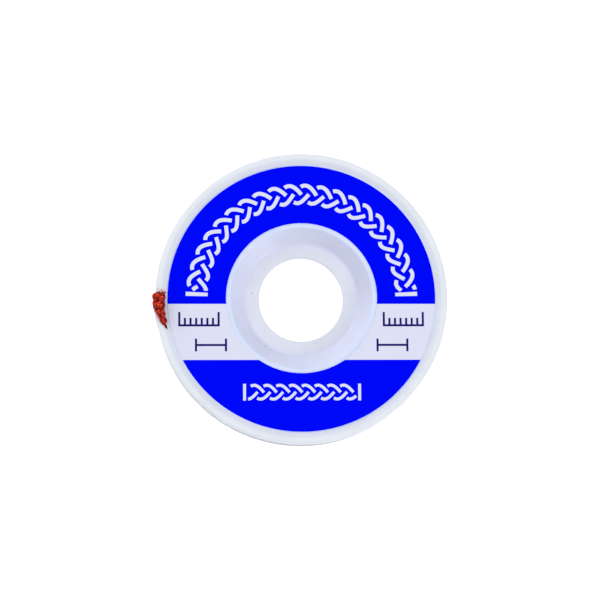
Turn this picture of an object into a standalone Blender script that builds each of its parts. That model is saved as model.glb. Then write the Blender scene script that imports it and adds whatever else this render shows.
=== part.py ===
"""A flat copper braid wound on a white moulded spool that carries a ring label.

The spool lies on its back flange. Its axis is the Z axis, and the origin is where the axis meets
the plane of the back rim. Units are metres.
"""

import math

import bmesh
import bpy
from mathutils import Vector

MM = 0.001
SHARP_EDGE = math.radians(30.0)

# Braid
BRAID_WIDTH = 3.0 * MM
BRAID_THICKNESS = 0.62 * MM
BRAID_TURNS = 13
TURN_GROOVE_DEPTH = 0.25 * MM
ROLL_SEGMENTS = 40

# Spool
RIM_RADIUS = 27.5 * MM
RIM_LIP_HEIGHT = 0.4 * MM
RIM_LIP_WIDTH = 1.05 * MM
RIM_STEP_WIDTH = 0.35 * MM
RIM_ROUNDING = 0.35 * MM
FLANGE_THICKNESS = 1.4 * MM
FLANGE_TAPER = 0.55 * MM
CHANNEL_SIDE_CLEARANCE = 0.7 * MM
HUB_RADIUS = 14.7 * MM
HUB_CLEARANCE = 0.3 * MM
HUB_WALL = 1.35 * MM
RECESS_MOUTH_ROUNDING = 0.35 * MM
RECESS_DRAFT = 2.55 * MM
RECESS_FOOT_ROUNDING = 0.6 * MM
WEB_THICKNESS = 1.3 * MM
WEB_REACH = 2.9 * MM
ROUNDING_STEPS = 2
SPOOL_SEGMENTS = 72

# Slit in the front flange: a straight pointed cut beside the label, which opens at the rim
SLIT_DEPTH = 2.32 * MM
SLIT_BEARING = math.radians(206.3)
SLIT_TIP = 5.75 * MM
SLIT_POINT_LENGTH = 1.05 * MM
SLIT_CLEARANCE = 0.2 * MM
SLIT_SPREAD = 0.22 * MM
SLIT_OVERRUN = 1.5 * MM

# The pointed tongue outside the slit is sprung outwards by the braid
TONGUE_BULGE = 0.3 * MM
TONGUE_BULGE_BEARING = math.radians(186.0)
TONGUE_BULGE_HALF_ANGLE = math.radians(8.0)

# Free end of the braid, which leaves the roll, climbs through the slit and curls inwards
TAIL_PINCH = 0.2 * MM
TAIL_THICKNESS = 0.46 * MM
TAIL_EDGE_SHARE = 0.65
TAIL_SINK = 0.5 * MM
TAIL_UNWIND_LENGTH = 19.0 * MM
TAIL_UNWIND_STEPS = 9
TAIL_CLIMB = math.radians(31.0)
TAIL_CLIMB_RADIUS = 5.0 * MM
TAIL_CLIMB_STEPS = 24
TAIL_MOUTH_OVERHANG = 0.42 * MM
TAIL_CURL = math.radians(70.0)
TAIL_CURL_RADIUS = 1.25 * MM
TAIL_CURL_START = 0.2 * MM
TAIL_FREE_LENGTH = 4.8 * MM
TAIL_FREE_STEPS = 8
TAIL_CROSS_STEPS = 6
BISECTION_STEPS = 30

# The flange holds the braid's upper edge down, until it is free a little past the slit's tip
TAIL_ROOF_MARGIN = 0.1 * MM
TAIL_RELEASE = 0.6 * MM
TAIL_RELEASE_LENGTH = 1.9 * MM
TAIL_RELEASE_RISE = 5.7 * MM

# Above the slit the hollow braid opens, leans inwards and ends in a cut that slopes at its edge
TAIL_OPENING = 2.4
TAIL_OPENING_REACH = 0.8 * MM
TAIL_CLOSING = 0.2
TAIL_LEAN = 0.24 * MM
TAIL_END_NARROWING = 0.1 * MM
TAIL_EDGE_TRIM = 1.4 * MM

# Label
LABEL_MOUTH_MARGIN = 0.85 * MM
LABEL_RIM_MARGIN = 2.35 * MM
LABEL_THICKNESS = 0.1 * MM
LABEL_GLUE = 0.05 * MM
LABEL_SEGMENTS = 72

# Places that follow from the sizes
CHANNEL_WIDTH = BRAID_WIDTH + 2 * CHANNEL_SIDE_CLEARANCE
SPOOL_THICKNESS = CHANNEL_WIDTH + 2 * (FLANGE_THICKNESS + RIM_LIP_HEIGHT)
MID_HEIGHT = SPOOL_THICKNESS / 2
FACE_HEIGHT = SPOOL_THICKNESS - RIM_LIP_HEIGHT
RECESS_MOUTH_RADIUS = HUB_RADIUS - HUB_WALL
RECESS_FOOT_RADIUS = RECESS_MOUTH_RADIUS - RECESS_DRAFT
HUB_HOLE_RADIUS = RECESS_FOOT_RADIUS - WEB_REACH
ROLL_BORE_RADIUS = HUB_RADIUS + HUB_CLEARANCE
ROLL_OUTER_RADIUS = ROLL_BORE_RADIUS + BRAID_TURNS * BRAID_THICKNESS
SLIT_LINE_RADIUS = RIM_RADIUS - SLIT_DEPTH
SLIT_HALF_WIDTH = TAIL_THICKNESS / 2 + SLIT_CLEARANCE
SLIT_OUTWARD = Vector((math.cos(SLIT_BEARING), math.sin(SLIT_BEARING), 0.0))
SLIT_ALONG = Vector((SLIT_OUTWARD.y, -SLIT_OUTWARD.x, 0.0))
SLIT_MOUTH = math.sqrt(RIM_RADIUS**2 - SLIT_LINE_RADIUS**2)
TAIL_WIDTH = BRAID_WIDTH - TAIL_PINCH
TAIL_ROOF = MID_HEIGHT + CHANNEL_WIDTH / 2 + TAIL_ROOF_MARGIN
LABEL_INNER_RADIUS = RECESS_MOUTH_RADIUS + LABEL_MOUTH_MARGIN
LABEL_OUTER_RADIUS = RIM_RADIUS - LABEL_RIM_MARGIN
UP = Vector((0.0, 0.0, 1.0))


def clear_scene():
    for scene_object in list(bpy.data.objects):
        bpy.data.objects.remove(scene_object, do_unlink=True)


def plain_material(name, colour, roughness, metallic):
    material = bpy.data.materials.new(name)
    material.use_nodes = True
    shader = material.node_tree.nodes["Principled BSDF"]
    shader.inputs["Base Color"].default_value = (*colour, 1.0)
    shader.inputs["Roughness"].default_value = roughness
    shader.inputs["Metallic"].default_value = metallic
    material.diffuse_color = (*colour, 1.0)
    return material


def object_from_bmesh(name, shape):
    """Turns the bmesh into an object with its faces outwards and smooth shading on its curves."""
    bmesh.ops.recalc_face_normals(shape, faces=shape.faces)
    mesh = bpy.data.meshes.new(name)
    shape.to_mesh(mesh)
    shape.free()
    mesh.shade_smooth()
    mesh.set_sharp_from_angle(angle=SHARP_EDGE)
    new_object = bpy.data.objects.new(name, mesh)
    bpy.context.scene.collection.objects.link(new_object)
    return new_object


def spun_bmesh(outline, segments):
    """Spins a closed outline of (radius, height) points once round the Z axis."""
    shape = bmesh.new()
    corners = [shape.verts.new((radius, 0.0, height)) for radius, height in outline]
    sides = [shape.edges.new((corners[i - 1], corners[i])) for i in range(len(corners))]
    bmesh.ops.spin(
        shape,
        geom=corners + sides,
        cent=(0.0, 0.0, 0.0),
        axis=UP,
        angle=math.tau,
        steps=segments,
        use_merge=True,
    )
    return shape


def rounded(outline):
    """Replaces each corner of a (radius, height, rounding) outline by an arc of its rounding."""
    points = []
    for index, (radius, height, rounding) in enumerate(outline):
        corner = Vector((radius, height))
        if rounding == 0.0:
            points.append(corner)
            continue
        back = (Vector(outline[index - 1][:2]) - corner).normalized()
        ahead = (Vector(outline[(index + 1) % len(outline)][:2]) - corner).normalized()
        half_angle = back.angle(ahead) / 2
        centre = corner + (back + ahead).normalized() * rounding / math.sin(half_angle)
        first = corner + back * rounding / math.tan(half_angle) - centre
        last = corner + ahead * rounding / math.tan(half_angle) - centre
        for step in range(ROUNDING_STEPS + 1):
            points.append(centre + first.slerp(last, step / ROUNDING_STEPS) * rounding)
    return points


def spool_outline():
    """The section of one half, from the hub hole out to the channel, and its mirror image."""
    web = MID_HEIGHT + WEB_THICKNESS / 2
    lip_foot = RIM_RADIUS - RIM_LIP_WIDTH - RIM_STEP_WIDTH
    front = [
        (HUB_HOLE_RADIUS, web, 0.0),
        (RECESS_FOOT_RADIUS, web, RECESS_FOOT_ROUNDING),
        (RECESS_MOUTH_RADIUS, FACE_HEIGHT, RECESS_MOUTH_ROUNDING),
        (lip_foot, FACE_HEIGHT, 0.0),
        (lip_foot + RIM_STEP_WIDTH, SPOOL_THICKNESS, 0.0),
        (RIM_RADIUS, SPOOL_THICKNESS, RIM_ROUNDING),
        (RIM_RADIUS, MID_HEIGHT + CHANNEL_WIDTH / 2 + FLANGE_TAPER, 0.0),
        (HUB_RADIUS, MID_HEIGHT + CHANNEL_WIDTH / 2, 0.0),
    ]
    back = [(radius, SPOOL_THICKNESS - height, rounding) for radius, height, rounding in front]
    return rounded(front + back[::-1])


def bulge_tongue(shape):
    """Moves the front flange's outer edge outwards beside the slit, most at the bulge's bearing."""
    for vertex in shape.verts:
        across = vertex.co.xy.length
        if vertex.co.z < MID_HEIGHT or across < RIM_RADIUS - RIM_ROUNDING:
            continue
        bearing = math.atan2(vertex.co.y, vertex.co.x) % math.tau
        offset = (bearing - TONGUE_BULGE_BEARING) / TONGUE_BULGE_HALF_ANGLE
        if abs(offset) < 1.0:
            grown = across + TONGUE_BULGE * math.cos(offset * math.pi / 2) ** 2
            vertex.co.xy *= grown / across


def slit_place(along):
    """The point of the slit's centre line this far from where it passes nearest the axis."""
    return SLIT_OUTWARD * SLIT_LINE_RADIUS + SLIT_ALONG * along


def slit_cutter():
    """A wedge with a pointed inner end, whose inner wall spreads a little towards the rim."""
    wall = SLIT_OUTWARD * SLIT_HALF_WIDTH
    spread_wall = SLIT_OUTWARD * (SLIT_HALF_WIDTH + SLIT_SPREAD)
    start = slit_place(SLIT_TIP + SLIT_POINT_LENGTH)
    end = slit_place(SLIT_MOUTH + SLIT_OVERRUN)
    plan = [slit_place(SLIT_TIP), start - wall, end - spread_wall, end + wall, start + wall]
    bottom = MID_HEIGHT + CHANNEL_WIDTH / 2
    shape = bmesh.new()
    floor = shape.faces.new([shape.verts.new(point + UP * bottom) for point in plan])
    raised = bmesh.ops.extrude_face_region(shape, geom=[floor])["geom"]
    wall_tops = [part for part in raised if isinstance(part, bmesh.types.BMVert)]
    bmesh.ops.translate(shape, verts=wall_tops, vec=UP * (SPOOL_THICKNESS + SLIT_OVERRUN - bottom))
    cutter = object_from_bmesh("slit_cutter", shape)
    cutter.hide_render = True
    cutter.display_type = "WIRE"
    return cutter


def add_boolean(target, other, operation):
    modifier = target.modifiers.new(other.name, "BOOLEAN")
    modifier.operation = operation
    modifier.solver = "EXACT"
    modifier.object = other


def build_spool():
    shape = spun_bmesh(spool_outline(), SPOOL_SEGMENTS)
    bulge_tongue(shape)
    spool = object_from_bmesh("spool", shape)
    spool.data.materials.append(plain_material("white_plastic", (0.86, 0.88, 0.92), 0.3, 0.0))
    add_boolean(spool, slit_cutter(), "DIFFERENCE")


def roll_outline():
    """The winding's section: each turn has a crest on both ends, with a groove beside it."""
    crests_and_grooves = []
    for turn in range(BRAID_TURNS):
        inner = ROLL_BORE_RADIUS + turn * BRAID_THICKNESS
        crests_and_grooves.append((inner, BRAID_WIDTH / 2 - TURN_GROOVE_DEPTH))
        crests_and_grooves.append((inner + BRAID_THICKNESS / 2, BRAID_WIDTH / 2))
    crests_and_grooves.append((ROLL_OUTER_RADIUS, BRAID_WIDTH / 2 - TURN_GROOVE_DEPTH))
    top = [(radius, MID_HEIGHT + half) for radius, half in crests_and_grooves]
    bottom = [(radius, MID_HEIGHT - half) for radius, half in crests_and_grooves]
    return top + bottom[::-1]


def eased(share):
    """A share, kept from 0 to 1, that starts and ends gently."""
    kept = min(max(share, 0.0), 1.0)
    return kept * kept * (3.0 - 2.0 * kept)


def unwinding(along):
    """Place and inward direction on the slit's line, or before it on the turn that leaves the roll."""
    if along >= 0.0:
        return slit_place(along), -SLIT_OUTWARD
    wound = eased(-along / TAIL_UNWIND_LENGTH)
    radius = SLIT_LINE_RADIUS + (ROLL_OUTER_RADIUS - TAIL_SINK - SLIT_LINE_RADIUS) * wound
    bearing = SLIT_BEARING - along / SLIT_LINE_RADIUS
    outward = Vector((math.cos(bearing), math.sin(bearing), 0.0))
    return outward * radius, -outward


def tail_stations():
    """The strip's stations: place along the slit's line, height, climb, and how far it is freed."""
    fold_height = SPOOL_THICKNESS + TAIL_CURL_START
    crossing = SLIT_MOUTH + TAIL_MOUTH_OVERHANG - TAIL_WIDTH / 2 / math.sin(TAIL_CLIMB)
    arc_run = TAIL_CLIMB_RADIUS * math.sin(TAIL_CLIMB)
    arc_rise = TAIL_CLIMB_RADIUS * (1.0 - math.cos(TAIL_CLIMB))
    straight_rise = fold_height - MID_HEIGHT - arc_rise
    climb_start = crossing - arc_run - straight_rise / math.tan(TAIL_CLIMB)
    arc_length = TAIL_CLIMB_RADIUS * TAIL_CLIMB
    climb_length = arc_length + straight_rise / math.sin(TAIL_CLIMB)

    stations = []
    for step in range(TAIL_UNWIND_STEPS):
        share = step / TAIL_UNWIND_STEPS
        along = climb_start * share - TAIL_UNWIND_LENGTH * (1.0 - share)
        stations.append((along, MID_HEIGHT, 0.0, 0.0))
    run_lengths = [climb_length * step / TAIL_CLIMB_STEPS for step in range(TAIL_CLIMB_STEPS)]
    for step in range(TAIL_FREE_STEPS + 1):
        run_lengths.append(climb_length + TAIL_FREE_LENGTH * step / TAIL_FREE_STEPS)
    for run in run_lengths:
        climb = min(run / TAIL_CLIMB_RADIUS, TAIL_CLIMB)
        straight = max(run - arc_length, 0.0)
        along = climb_start + TAIL_CLIMB_RADIUS * math.sin(climb) + straight * math.cos(climb)
        rise = TAIL_CLIMB_RADIUS * (1.0 - math.cos(climb)) + straight * math.sin(climb)
        freed = max(run - climb_length, 0.0) / TAIL_FREE_LENGTH
        stations.append((along, MID_HEIGHT + rise, climb, freed))
    return stations


def curled(along, height):
    """Curls a point of the flat strip inwards above the slit. Gives the point and the inner normal."""
    place, inward = unwinding(along)
    above = max(height - SPOOL_THICKNESS - TAIL_CURL_START, 0.0)
    curl = min(above / TAIL_CURL_RADIUS, TAIL_CURL)
    beyond = above - TAIL_CURL_RADIUS * curl
    sideways = TAIL_CURL_RADIUS * (1.0 - math.cos(curl)) + beyond * math.sin(curl)
    upwards = TAIL_CURL_RADIUS * math.sin(curl) + beyond * math.cos(curl)
    point = place + inward * sideways + UP * (height - above + upwards)
    return point, inward * math.cos(curl) - UP * math.sin(curl)


def tail_place(station, offset):
    """Place along the slit's line and height of the strip this far off its middle."""
    along, height, climb, _ = station
    return along - offset * math.sin(climb), height + offset * math.cos(climb)


def roof(along):
    """The height that the braid's upper edge is held down to."""
    free = (along - SLIT_TIP - TAIL_RELEASE) / TAIL_RELEASE_LENGTH
    return TAIL_ROOF + TAIL_RELEASE_RISE * eased(free)


def upper_edge(station, half_width):
    """How far off the strip's middle its upper edge lies, found by bisection under the roof."""
    low, high = -half_width, half_width
    along, height = tail_place(station, high)
    if height <= roof(along):
        return high
    for _ in range(BISECTION_STEPS):
        middle = (low + high) / 2
        along, height = tail_place(station, middle)
        if height <= roof(along):
            low = middle
        else:
            high = middle
    return low


def tail_ring(station):
    """The closed ring of points round the strip at one station, thinner at its two edges."""
    freed = station[3]
    half_width = (TAIL_WIDTH - TAIL_END_NARROWING * freed**3) / 2
    upper = upper_edge(station, half_width)
    inner_side, outer_side = [], []
    for step in range(TAIL_CROSS_STEPS + 1):
        share = step / TAIL_CROSS_STEPS
        offset = upper * share - half_width * (1.0 - share)
        trimmed = TAIL_EDGE_TRIM * freed * min(offset / half_width, 0.0) ** 2
        along, height = tail_place(station, offset)
        along -= trimmed * math.cos(station[2])
        height -= trimmed * math.sin(station[2])
        point, normal = curled(along, height)
        opened = eased((height - SPOOL_THICKNESS) / TAIL_OPENING_REACH)
        half = TAIL_THICKNESS / 2 * (1.0 - (1.0 - TAIL_EDGE_SHARE) * (2.0 * share - 1.0) ** 2)
        half *= 1.0 + TAIL_OPENING * opened * (1.0 - TAIL_CLOSING * freed**2)
        inner_side.append(point + normal * (TAIL_LEAN * opened + half))
        outer_side.append(point + normal * (TAIL_LEAN * opened - half))
    return inner_side + outer_side[::-1]


def build_tail():
    shape = bmesh.new()
    rings = []
    for station in tail_stations():
        ring = [shape.verts.new(point) for point in tail_ring(station)]
        rings.append([shape.edges.new((ring[i - 1], ring[i])) for i in range(len(ring))])
    for ring, next_ring in zip(rings, rings[1:]):
        bmesh.ops.bridge_loops(shape, edges=ring + next_ring)
    for ring in (rings[0], rings[-1]):
        bmesh.ops.contextual_create(shape, geom=ring)
    tail = object_from_bmesh("free_end", shape)
    tail.hide_render = True
    tail.display_type = "WIRE"
    return tail


def build_braid():
    braid = object_from_bmesh("braid", spun_bmesh(roll_outline(), ROLL_SEGMENTS))
    braid.data.materials.append(plain_material("copper", (0.62, 0.2, 0.12), 0.35, 1.0))
    add_boolean(braid, build_tail(), "UNION")


def build_label():
    underside = FACE_HEIGHT + LABEL_GLUE
    top = underside + LABEL_THICKNESS
    outline = [
        (LABEL_INNER_RADIUS, top),
        (LABEL_OUTER_RADIUS, top),
        (LABEL_OUTER_RADIUS, underside),
        (LABEL_INNER_RADIUS, underside),
    ]
    label = object_from_bmesh("label", spun_bmesh(outline, LABEL_SEGMENTS))
    label.data.materials.append(plain_material("blue_label", (0.01, 0.02, 0.85), 0.4, 0.0))


def main():
    clear_scene()
    build_spool()
    build_braid()
    build_label()


main()
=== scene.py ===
"""Dresses a spool of flat copper braid: white moulded flanges, a ring label and the woven free end.

Lengths are in metres. The spool lies on its back flange with its axis on the Z axis.
"""

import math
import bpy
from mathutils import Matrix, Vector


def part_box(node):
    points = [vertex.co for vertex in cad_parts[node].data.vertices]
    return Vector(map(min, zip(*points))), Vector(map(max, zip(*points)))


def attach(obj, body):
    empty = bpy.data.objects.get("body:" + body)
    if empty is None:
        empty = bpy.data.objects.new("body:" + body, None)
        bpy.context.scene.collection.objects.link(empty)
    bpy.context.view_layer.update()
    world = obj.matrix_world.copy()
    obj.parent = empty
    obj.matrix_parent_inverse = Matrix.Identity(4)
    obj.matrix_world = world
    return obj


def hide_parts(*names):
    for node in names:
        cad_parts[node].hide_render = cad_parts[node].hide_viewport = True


bl_info = {
    "name": "Copper Braid Spool",
    "version": (1, 0, 0),
    "blender": (4, 5, 0),
    "location": "3D View > Sidebar > Braid Spool",
    "description": "Builds a white spool of flat copper braid with its ring label and free end",
    "category": "Add Mesh",
}

import bpy
import numpy as np
from mathutils import Matrix, Vector

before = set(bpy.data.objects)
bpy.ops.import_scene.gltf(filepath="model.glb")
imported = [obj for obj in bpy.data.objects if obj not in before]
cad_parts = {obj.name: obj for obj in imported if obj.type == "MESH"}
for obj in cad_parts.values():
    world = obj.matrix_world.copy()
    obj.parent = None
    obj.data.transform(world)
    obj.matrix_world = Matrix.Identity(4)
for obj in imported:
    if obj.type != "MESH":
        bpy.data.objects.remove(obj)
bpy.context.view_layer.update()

MM = 0.001
FULL_TURN = 2 * math.pi
UP = np.array([0.0, 0.0, 1.0])
SPOOL_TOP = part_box("spool")[1]
LABEL_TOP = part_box("label")[1]
SEED = 5


def linear(hex_colour):
    """Turns an sRGB hex colour into linear red, green and blue, and full opacity."""
    srgb = np.array([int(hex_colour[i : i + 2], 16) for i in (0, 2, 4)]) / 255
    low, high = srgb / 12.92, ((srgb + 0.055) / 1.055) ** 2.4
    return (*np.where(srgb <= 0.04045, low, high).tolist(), 1.0)


def number(name, description, default, **options):
    """A number property, with its unit and other options."""
    return bpy.props.FloatProperty(name=name, description=description, default=default, **options)


def length(name, description, millimetres):
    """A length property with its default given in millimetres."""
    return number(name, description, millimetres * MM, unit="LENGTH", precision=5)


def angle(name, description, degrees):
    """An angle property with its default given in degrees."""
    return number(name, description, math.radians(degrees), unit="ROTATION")


def count(name, description, default):
    return bpy.props.IntProperty(name=name, description=description, default=default, min=1)


def colour(name, description, hex_colour):
    """A colour property with its default given as an sRGB hex value."""
    limits = {"subtype": "COLOR", "size": 4, "min": 0.0, "max": 1.0}
    return bpy.props.FloatVectorProperty(
        name=name, description=description, default=linear(hex_colour), **limits
    )


class SpoolSizes(bpy.types.PropertyGroup):
    rim_radius: length("Rim radius", "Outer radius of both flanges", SPOOL_TOP.x / MM)
    thickness: length("Thickness", "Height of the spool over both rims", SPOOL_TOP.z / MM)
    lip_height: length("Lip height", "Height of the raised rim", 0.4)
    lip_width: length("Lip width", "Width of the raised rim's top", 1.05)
    lip_step: length("Lip step", "Width of the slope up to the raised rim", 1.1)
    flange_thickness: length("Flange thickness", "Thickness of a flange at the hub", 1.4)
    flange_taper: length("Flange taper", "How much it thins towards the rim", 0.55)
    hub_radius: length("Hub radius", "Radius of the drum under the braid", 14.7)
    hub_wall: length("Hub wall", "Wall at the mouth of the recess", 1.35)
    recess_draft: length("Recess draft", "How far the recess narrows inwards", 2.55)
    web_thickness: length("Web thickness", "Thickness round the hub hole", 1.3)
    web_reach: length("Web reach", "Width round the hub hole", 2.9)
    slit_bearing: angle("Slit bearing", "Where the slit's line passes nearest the axis", 206.3)
    slit_depth: length("Slit depth", "Distance from the rim to its line", 2.32)
    slit_tip: length("Slit tip", "Where along its line it starts", 5.75)
    slit_point: length("Slit point", "Length of its pointed end", 1.05)
    slit_half_width: length("Slit half width", "Distance of its walls from its line", 0.43)
    slit_spread: length("Slit spread", "Further distance at the rim", 0.22)
    tongue_bulge: length("Tongue bulge", "How far it is sprung outwards", 0.3)
    tongue_bearing: angle("Tongue bearing", "Where it bulges most", 186.0)
    tongue_half_angle: angle("Tongue half angle", "Half the bulge's angle", 8.0)
    plastic: colour("Plastic", "Colour of the moulded plastic", "D8DCE6")
    # Painted shade: a slightly darker, bluer plastic colour down the recess wall, where shade
    # falls.
    painted_recess_shade: colour("Plastic wall", "Cooler colour down in the recess", "D6DAEE")
    # Painted reflection: a light blue cast on the plastic beside the blue label, standing in for
    # light thrown off it.
    painted_label_reflection: colour("Plastic by label", "Light blue cast beside the label", "D2DCF4")
    # Painted highlight: a brighter plastic colour on the raised rim, which catches more light.
    painted_rim_highlight: colour("Plastic lip", "Brighter colour of the raised rim", "DFE4EA")
    dust: colour("Dust", "Colour of the specks in the recess", "6A6A86")


class BraidSizes(bpy.types.PropertyGroup):
    width: length("Width", "Width of the flat braid", 3.0)
    thickness: length("Thickness", "Thickness of one turn on the spool", 0.62)
    turns: count("Turns", "Number of turns on the spool", 13)
    bore_radius: length("Bore radius", "Inner radius of the winding", 15.0)
    carriers: count("Carriers", "Bundles that circle each way", 8)
    wires: count("Wires", "Wires side by side in one bundle", 5)
    wire_diameter: length("Wire diameter", "Diameter of one copper wire", 0.13)
    braid_angle: angle("Braid angle", "Angle of wires to its length", 42.0)
    copper: colour("Copper", "Colour of the wire", "DE4C38")
    # Dark copper is pooled flux on the wires, and also painted shade in the weave's low places and
    # in the grooves between turns.
    flux_and_shade_copper: colour("Dark copper", "Colour where flux has pooled", "7E120E")
    copper_pale: colour("Pale copper", "Colour of the loose wires", "E9A491")


class LabelSizes(bpy.types.PropertyGroup):
    inner_radius: length("Inner radius", "Radius of the hole in the label", 14.2)
    outer_radius: length("Outer radius", "Outer radius of the label", LABEL_TOP.x / MM)
    film: length("Film", "Thickness of the label", 0.1)
    band_top: length("Band top", "Upper edge of the white band", -1.16)
    band_bottom: length("Band bottom", "Lower edge of the white band", -11.7)
    arc_radius: length("Arc radius", "Middle radius of the border", 19.7)
    arc_height: length("Arc height", "Half the border's height", 1.7)
    line_height: length("Line height", "Place of the lower plaited line", -17.75)
    stroke: length("Stroke", "Width of a printed stroke", 0.72)
    blue: colour("Blue", "Colour of the printed fields", "0009F6")
    white: colour("White", "Colour of the band and strokes", "DDDFF0")
    navy: colour("Navy", "Colour of the rules", "1C1F6E")


class StudioSettings(bpy.types.PropertyGroup):
    camera_x: length("Camera X", "Place to the right of the axis", -17.0)
    camera_y: length("Camera Y", "Place above the axis", -50.0)
    camera_z: length("Camera height", "Height over the floor", 400.0)
    aim_x: length("Aim X", "Point that the camera looks at", -0.31)
    aim_y: length("Aim Y", "Point that the camera looks at", -0.42)
    lens: number("Lens", "Focal length", 126.5, unit="CAMERA")
    floor: colour("Floor", "Colour of the floor", "FCFCFC")
    world: colour("Surroundings", "Colour of the studio", "F4F6FF")
    world_light: number("Surroundings light", "Brightness of the studio", 0.4)
    top_power: number("Top light", "Power overhead, in watts", 3.6)
    key_power: number("Key light", "Power at the upper left, in watts", 4.5)
    fill_power: number("Fill light", "Power at the lower right, in watts", 3.5)
    floor_glow: number("Floor glow", "Light that the floor gives off", 0.55)


def spool_sizes():
    return bpy.context.scene.spool_sizes


def braid_sizes():
    return bpy.context.scene.braid_sizes


def label_sizes():
    return bpy.context.scene.label_sizes


# Meshes


def stacked(*parts):
    """Puts coordinates side by side along a last axis, each spread to the shape of the largest."""
    return np.stack(np.broadcast_arrays(*parts), axis=-1)


def unit(vectors):
    """The vectors with a length of one."""
    return vectors / np.linalg.norm(vectors, axis=-1, keepdims=True)


def grid_faces(rows, columns, wrap_rows=False, wrap_columns=False):
    """Index quads of a grid whose points are numbered row by row.

    Each face goes from its point to the next column, the next row, and back.
    """
    row = np.arange(rows - (not wrap_rows))[:, None]
    column = np.arange(columns - (not wrap_columns))[None, :]
    next_row, next_column = (row + 1) % rows, (column + 1) % columns
    near, far = row * columns, next_row * columns
    corners = stacked(near + column, near + next_column, far + next_column, far + column)
    return corners.reshape(-1, 4)


def ring_faces(points):
    """Index quads of a grid of points that closes both ways, such as a turned ring."""
    return grid_faces(*points.shape[:2], wrap_rows=True, wrap_columns=True)


def joined(parts):
    """Joins parts, each its points and a list of face arrays, into one such part."""
    points, faces, start = [], [], 0
    for part_points, part_faces in parts:
        points.append(part_points.reshape(-1, 3))
        faces += [face + start for face in part_faces]
        start += len(points[-1])
    return np.concatenate(points), faces


def smooth(mesh, sharp=35.0):
    """Shades a mesh smooth, except at edges that turn by more than this many degrees."""
    mesh.shade_smooth()
    mesh.set_sharp_from_angle(angle=math.radians(sharp))


def new_piece(name, points, faces, materials, node=None, slot=None, indices=None):
    """Makes a smooth mesh object from points and a list of face arrays.

    A piece with a node joins the frame: it rides on the root and takes that node's place. The
    indices say which of the materials each face has.
    """
    mesh = bpy.data.meshes.new(name)
    points = np.asarray(points, float).reshape(-1, 3)
    sizes = np.concatenate([np.full(len(part), part.shape[1]) for part in faces])
    corners = np.concatenate([part.ravel() for part in faces])
    mesh.vertices.add(len(points))
    mesh.vertices.foreach_set("co", points.astype(np.float32).ravel())
    mesh.loops.add(len(corners))
    mesh.loops.foreach_set("vertex_index", corners.astype(np.int32))
    mesh.polygons.add(len(sizes))
    mesh.polygons.foreach_set("loop_start", (np.cumsum(sizes) - sizes).astype(np.int32))
    mesh.update(calc_edges=True)
    for material in materials:
        mesh.materials.append(material)
    if indices is not None:
        mesh.polygons.foreach_set("material_index", indices.astype(np.int32))
    mesh.validate()
    smooth(mesh)
    piece = bpy.data.objects.new(name, mesh)
    bpy.context.scene.collection.objects.link(piece)
    if node is not None:
        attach(piece, "root")
        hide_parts(node)
    return piece


def set_point_value(piece, name, values):
    """Stores one number for each point, which the piece's material reads as an attribute."""
    attribute = piece.data.attributes.new(name, "FLOAT", "POINT")
    attribute.data.foreach_set("value", np.asarray(values, np.float32).ravel())


def turned(section, bearings):
    """Carries a (radius, height) section round the Z axis, with one row for each bearing.

    x and y are the radius times the bearing's cosine and sine.
    """
    radius, height, bearing = section[..., 0], section[..., 1], bearings[:, None]
    return stacked(radius * np.cos(bearing), radius * np.sin(bearing), height)


def rounded(corners, steps):
    """Replaces each (radius, height, rounding) corner of a closed outline by an arc.

    The arc touches both sides, so its centre lies on the corner's bisector, at the rounding
    divided by the sine of half the corner's angle.
    """
    corners = np.array(corners)
    place, rounding = corners[:, :2], corners[:, 2:]
    back = unit(np.roll(place, 1, axis=0) - place)
    ahead = unit(np.roll(place, -1, axis=0) - place)
    half = np.arccos(np.clip((back * ahead).sum(axis=1, keepdims=True), -1, 1)) / 2
    centre = place + unit(back + ahead) * rounding / np.sin(half)
    first = place + back * rounding / np.tan(half) - centre
    last = place + ahead * rounding / np.tan(half) - centre
    sweep = math.pi - 2 * half
    share = np.linspace(0, 1, steps + 1)[None, :, None]
    weight_first = np.sin((1 - share) * sweep[:, None]) / np.sin(sweep)[:, None]
    weight_last = np.sin(share * sweep[:, None]) / np.sin(sweep)[:, None]
    arcs = centre[:, None] + weight_first * first[:, None] + weight_last * last[:, None]
    return arcs.reshape(-1, 2)


def eased(share):
    """A share from 0 to 1 that starts and ends gently: three squares less two cubes."""
    share = np.clip(share, 0.0, 1.0)
    return share * share * (3.0 - 2.0 * share)


def tubes(paths, reference, radius, sides):
    """Carries a regular ring of points along each path, and closes both ends.

    paths and reference are (tube, station, 3) arrays. A ring's point is the path's point plus the
    radius times the cosine along the reference, made square to the path, and the sine across both.
    """
    heading = unit(np.gradient(paths, axis=1))
    first = unit(reference - (reference * heading).sum(axis=2, keepdims=True) * heading)
    second = np.cross(heading, first)
    turn = np.arange(sides) * FULL_TURN / sides
    ring = first[:, :, None] * np.cos(turn)[:, None] + second[:, :, None] * np.sin(turn)[:, None]
    points = paths[:, :, None] + ring * np.asarray(radius)[..., None, None]
    return points, tube_faces(paths.shape[0], paths.shape[1], sides)


def tube_faces(tube_count, stations, sides):
    """Side quads and end caps of equal closed tubes, whose points are numbered tube by tube."""
    offset = np.arange(tube_count)[:, None, None] * stations * sides
    walls = grid_faces(stations, sides, wrap_columns=True)[None] + offset
    ring = np.arange(sides)[None, :]
    start_caps = ring[:, ::-1] + offset[:, 0]
    end_caps = ring + (stations - 1) * sides + offset[:, 0]
    return [walls.reshape(-1, 4), start_caps, end_caps]


# Materials


def connect(output, node, name):
    """Links an output to the input of a node that has this name or number."""
    node.id_data.links.new(output, node.inputs[name])


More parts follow.
